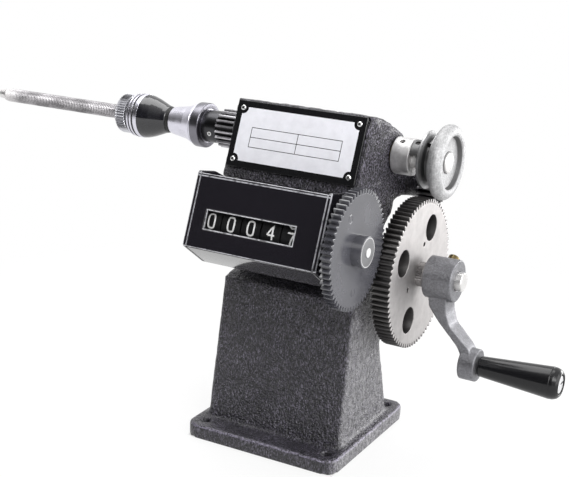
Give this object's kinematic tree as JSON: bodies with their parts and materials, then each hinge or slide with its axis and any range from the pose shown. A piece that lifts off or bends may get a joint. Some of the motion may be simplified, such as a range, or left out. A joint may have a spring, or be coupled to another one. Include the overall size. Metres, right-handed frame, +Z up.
{
  "type": "coil winding machine",
  "caption": "Hand cranked coil winding machine: cast pedestal, geared spindle with clamping cones on a threaded mandrel, belt pulley and a geared turns counter.",
  "frame": {"origin": "centre of the four fixing holes, in the underside of the base flange", "axes": "+X along the spindle towards the crank, -Y towards the operator's side with the counter, +Z up"},
  "size_m": [0.4685, 0.1719, 0.2297],
  "materials": {
    "black_casting": "black crinkle paint over rough cast iron",
    "plate_white": "white printed plate with a black border",
    "bright_screws": "polished heads",
    "bronze": "plain bearing bronze",
    "counter_black": "glossy black",
    "bezel_grey": "satin dark grey with bright edges",
    "counter_steel": "turned",
    "carry_white": "plain",
    "gear_grey": "dark grey moulded",
    "cap_cream": "cream moulded",
    "drum_black": "black with white figures",
    "lever_chrome": "polished",
    "spindle_steel": "turned and threaded",
    "cone_bright": "polished cone, dark back",
    "cone_black": "blackened with bright turned rings",
    "ring_rubber": "black",
    "nut_steel": "knurled",
    "dark_steel": "oiled cut teeth",
    "black_screws": "blackened",
    "cast_aluminium": "machined casting",
    "arm_aluminium": "tumbled die casting",
    "gear_steel": "faced steel, dark tooth spaces",
    "shaft_steel": "ground",
    "brass_screw": "yellow plated, dark socket",
    "grip_black": "polished black"
  },
  "bodies": {
    "base": {"pedestal_casting": "black_casting", "nameplate": "plate_white", "nameplate_screws": "bright_screws", "spindle_bushes": "bronze", "layshaft_bushes": "bronze", "crank_bushes": "bronze", "counter_case": "counter_black", "counter_bezel": "bezel_grey", "counter_mount_screws": "bright_screws", "counter_side_left": "counter_black", "counter_side_right": "counter_black", "counter_posts": "counter_steel", "counter_screws": "bright_screws", "carry_axle": "counter_steel", "carry_pinions": "carry_white"},
    "crank": {"crank_shaft": "shaft_steel", "shaft_collar": "shaft_steel", "crank_gear": "gear_steel", "serrated_collar": "nut_steel", "crank_arm": "arm_aluminium", "crank_set_screw": "brass_screw", "handle_pin": "shaft_steel"},
    "grip": {"handle_grip": "grip_black"},
    "layshaft_group": {"layshaft": "shaft_steel", "layshaft_pinion": "dark_steel", "layshaft_gear": "gear_steel"},
    "spindle": {"spindle_shaft": "spindle_steel", "inner_cone": "cone_bright", "cone_set_screw": "bright_screws", "spindle_pinion": "dark_steel", "clutch_collar": "spindle_steel", "drive_pulley": "cast_aluminium", "collar_set_screws": "black_screws", "pulley_set_screw": "black_screws", "hand_wheel": "cast_aluminium"},
    "nut": {"knurled_nut": "nut_steel"},
    "free_cone": {"outer_cone": "cone_black", "cone_ring": "ring_rubber"},
    "counter_input": {"counter_shaft": "counter_steel", "counter_gear": "gear_grey", "counter_end_cap": "cap_cream", "counter_input_pinion": "counter_steel"},
    "idler": {"counter_idler": "counter_steel"},
    "lever": {"reset_lever": "lever_chrome", "reset_lever_wings": "lever_chrome", "reset_lever_shaft": "lever_chrome"},
    "drum_ten_thousands_body": {"drum_ten_thousands": "drum_black"},
    "drum_thousands_body": {"drum_thousands": "drum_black"},
    "drum_hundreds_body": {"drum_hundreds": "drum_black"},
    "drum_tens_body": {"drum_tens": "drum_black"},
    "drum_units_body": {"drum_units": "drum_black"}
  },
  "joints": [
    {"name": "crank_spin", "type": "hinge", "parent": "base", "child": "crank", "pos_m": [0, 0.031, 0.1188], "axis": [1, 0, 0], "continuous": true},
    {"name": "layshaft_spin", "type": "hinge", "parent": "base", "child": "layshaft_group", "pos_m": [0, 0.05771, 0.17531], "axis": [1, 0, 0], "continuous": true},
    {"name": "spindle_spin", "type": "hinge", "parent": "base", "child": "spindle", "pos_m": [0, 0.0284, 0.1987], "axis": [1, 0, 0], "continuous": true},
    {"name": "counter_input_spin", "type": "hinge", "parent": "base", "child": "counter_input", "pos_m": [0, -0.0492, 0.15379], "axis": [1, 0, 0], "continuous": true},
    {"name": "idler_spin", "type": "hinge", "parent": "base", "child": "idler", "pos_m": [0, -0.03801, 0.14945], "axis": [1, 0, 0], "continuous": true},
    {"name": "grip_spin", "type": "hinge", "parent": "crank", "child": "grip", "pos_m": [0, 0.031, 0.0628], "axis": [1, 0, 0], "continuous": true},
    {"name": "nut_slide", "type": "slide", "parent": "spindle", "child": "nut", "axis": [1, 0, 0], "range_m": [-0.11, 0]},
    {"name": "free_cone_slide", "type": "slide", "parent": "spindle", "child": "free_cone", "axis": [1, 0, 0], "range_m": [-0.11, 0]},
    {"name": "reset_lever_swing", "type": "hinge", "parent": "base", "child": "lever", "pos_m": [0, -0.022, 0.1525], "axis": [1, 0, 0], "range_deg": [-20, 30]},
    {"name": "drum_units_spin", "type": "hinge", "parent": "base", "child": "drum_units_body", "pos_m": [0, -0.0492, 0.15379], "axis": [1, 0, 0], "continuous": true},
    {"name": "drum_tens_spin", "type": "hinge", "parent": "base", "child": "drum_tens_body", "pos_m": [0, -0.0492, 0.15379], "axis": [1, 0, 0], "continuous": true},
    {"name": "drum_hundreds_spin", "type": "hinge", "parent": "base", "child": "drum_hundreds_body", "pos_m": [0, -0.0492, 0.15379], "axis": [1, 0, 0], "continuous": true},
    {"name": "drum_thousands_spin", "type": "hinge", "parent": "base", "child": "drum_thousands_body", "pos_m": [0, -0.0492, 0.15379], "axis": [1, 0, 0], "continuous": true},
    {"name": "drum_ten_thousands_spin", "type": "hinge", "parent": "base", "child": "drum_ten_thousands_body", "pos_m": [0, -0.0492, 0.15379], "axis": [1, 0, 0], "continuous": true}
  ],
  "couplings": [
    {"joint": "layshaft_spin", "follows": "crank_spin", "ratio": -4},
    {"joint": "spindle_spin", "follows": "crank_spin", "ratio": 8},
    {"joint": "counter_input_spin", "follows": "crank_spin", "ratio": -1.3333},
    {"joint": "idler_spin", "follows": "crank_spin", "ratio": 0.8},
    {"joint": "drum_units_spin", "follows": "crank_spin", "ratio": -0.8},
    {"joint": "drum_tens_spin", "follows": "crank_spin", "ratio": -0.08},
    {"joint": "drum_hundreds_spin", "follows": "crank_spin", "ratio": -0.008},
    {"joint": "drum_thousands_spin", "follows": "crank_spin", "ratio": -0.0008},
    {"joint": "drum_ten_thousands_spin", "follows": "crank_spin", "ratio": -0.00008},
    {"joint": "free_cone_slide", "follows": "nut_slide", "ratio": 1}
  ]
}
